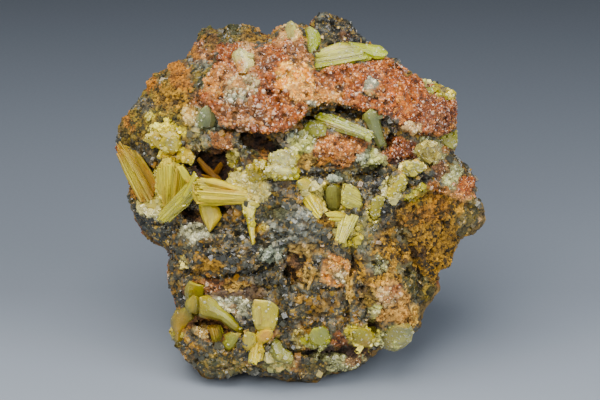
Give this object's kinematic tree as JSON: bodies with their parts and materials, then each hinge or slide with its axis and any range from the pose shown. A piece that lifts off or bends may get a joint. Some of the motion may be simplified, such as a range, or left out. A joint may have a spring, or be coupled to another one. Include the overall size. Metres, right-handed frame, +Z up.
{
  "type": "pyromorphite mineral specimen",
  "caption": "Fist-sized lump of iron- and manganese-stained quartz matrix with yellow-green pyromorphite prisms in its pockets, standing on a flat broken base.",
  "frame": {"origin": "under the middle of the specimen's bounding box, on the plane of its flat broken base", "axes": "+Z up, -Y the crystal-covered front, +X to the right as seen from the front"},
  "size_m": [0.1006, 0.065, 0.0919],
  "materials": {
    "matrix": "rough, granular: rust-red quartz druse, ochre limonite and black manganese oxide",
    "pyromorphite": "translucent, resinous to glassy, striated along the prism",
    "quartz": "translucent, glassy, crusted with druse"
  },
  "bodies": {
    "root": {"bright_centre_cluster": "pyromorphite", "diagonal_prism": "pyromorphite", "druse_covered_crystal": "pyromorphite", "druse_flanked_crystal": "pyromorphite", "druse_knob": "quartz", "glossy_prism": "pyromorphite", "grey_quartz_crystal": "quartz", "horizontal_fan": "pyromorphite", "left_edge_sheaf": "pyromorphite", "left_fan": "pyromorphite", "long_tapered_prism": "pyromorphite", "low_centre_pair": "pyromorphite", "low_right_green": "pyromorphite", "low_right_yellow": "pyromorphite", "lower_diagonal_prism": "pyromorphite", "lower_green_crystal": "pyromorphite", "lower_yellow_crystal": "pyromorphite", "matrix": "matrix", "pale_tablet_group": "pyromorphite", "pocket_bar": "pyromorphite", "pocket_blades": "pyromorphite", "pocket_curved_stack": "pyromorphite", "pocket_green_crystal": "pyromorphite", "pocket_pale_fan": "pyromorphite", "pocket_yellow_crystal": "pyromorphite", "right_edge_green": "pyromorphite", "right_shoulder_crystal": "quartz", "slim_blade": "pyromorphite", "square_tablet": "pyromorphite", "tall_green_crystal": "pyromorphite", "tooth_crystal": "pyromorphite", "top_large_crystal": "pyromorphite", "top_left_crystal": "pyromorphite", "top_spike": "quartz", "upper_left_cluster": "pyromorphite", "white_quartz_crystal": "quartz"}
  },
  "joints": []
}
